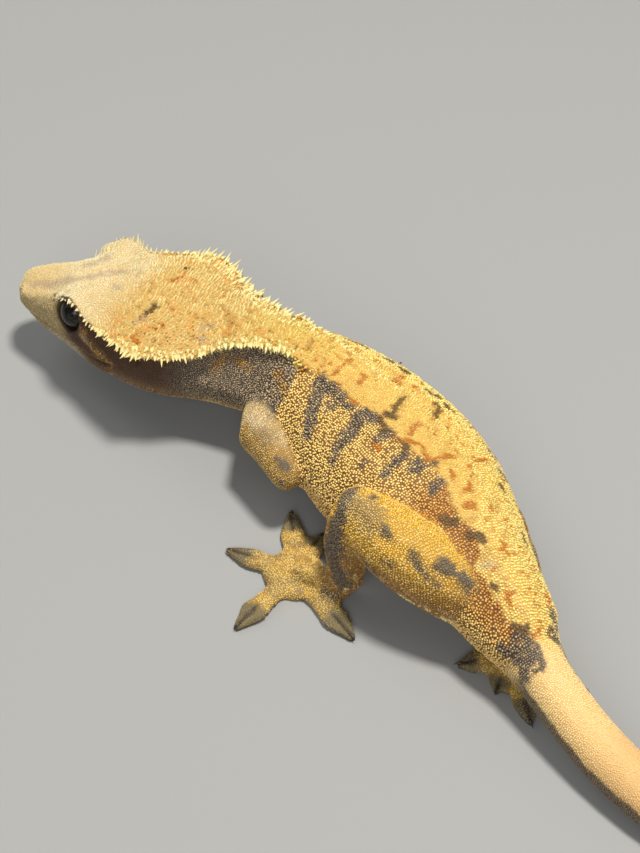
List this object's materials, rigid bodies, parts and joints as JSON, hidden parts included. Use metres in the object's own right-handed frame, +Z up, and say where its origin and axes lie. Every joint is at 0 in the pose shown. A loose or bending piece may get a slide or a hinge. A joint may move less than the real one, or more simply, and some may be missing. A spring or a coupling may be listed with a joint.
{
  "type": "crested gecko model",
  "caption": "Life-size still model of a crested gecko standing low on flat soles, head turned to its left, tail trailing behind.",
  "frame": {"origin": "middle of the bounding box at floor level", "axes": "+X from the tail towards the head along the back, +Y to the animal's left, +Z up"},
  "size_m": [0.1698, 0.064, 0.0189],
  "materials": {
    "skin_crown": "matt, granular cream and yellow skin with dark flank bars",
    "skin_limb": "matt, granular golden skin with charcoal blotches",
    "skin_tail": "matt, fine orange-tan scales in rows",
    "eye": "wet, dark, with a fine slit pupil"
  },
  "bodies": {
    "root": {"head": "skin_crown", "neck": "skin_crown", "torso": "skin_crown", "tail_base": "skin_tail", "tail_middle": "skin_tail", "tail_tip": "skin_tail", "upper_arm_left": "skin_limb", "forearm_left": "skin_limb", "hand_left": "skin_limb", "thigh_left": "skin_limb", "shin_left": "skin_limb", "foot_left": "skin_limb", "upper_arm_right": "skin_limb", "forearm_right": "skin_limb", "hand_right": "skin_limb", "thigh_right": "skin_limb", "shin_right": "skin_limb", "foot_right": "skin_limb", "eye_left": "eye", "eye_right": "eye"}
  },
  "joints": []
}
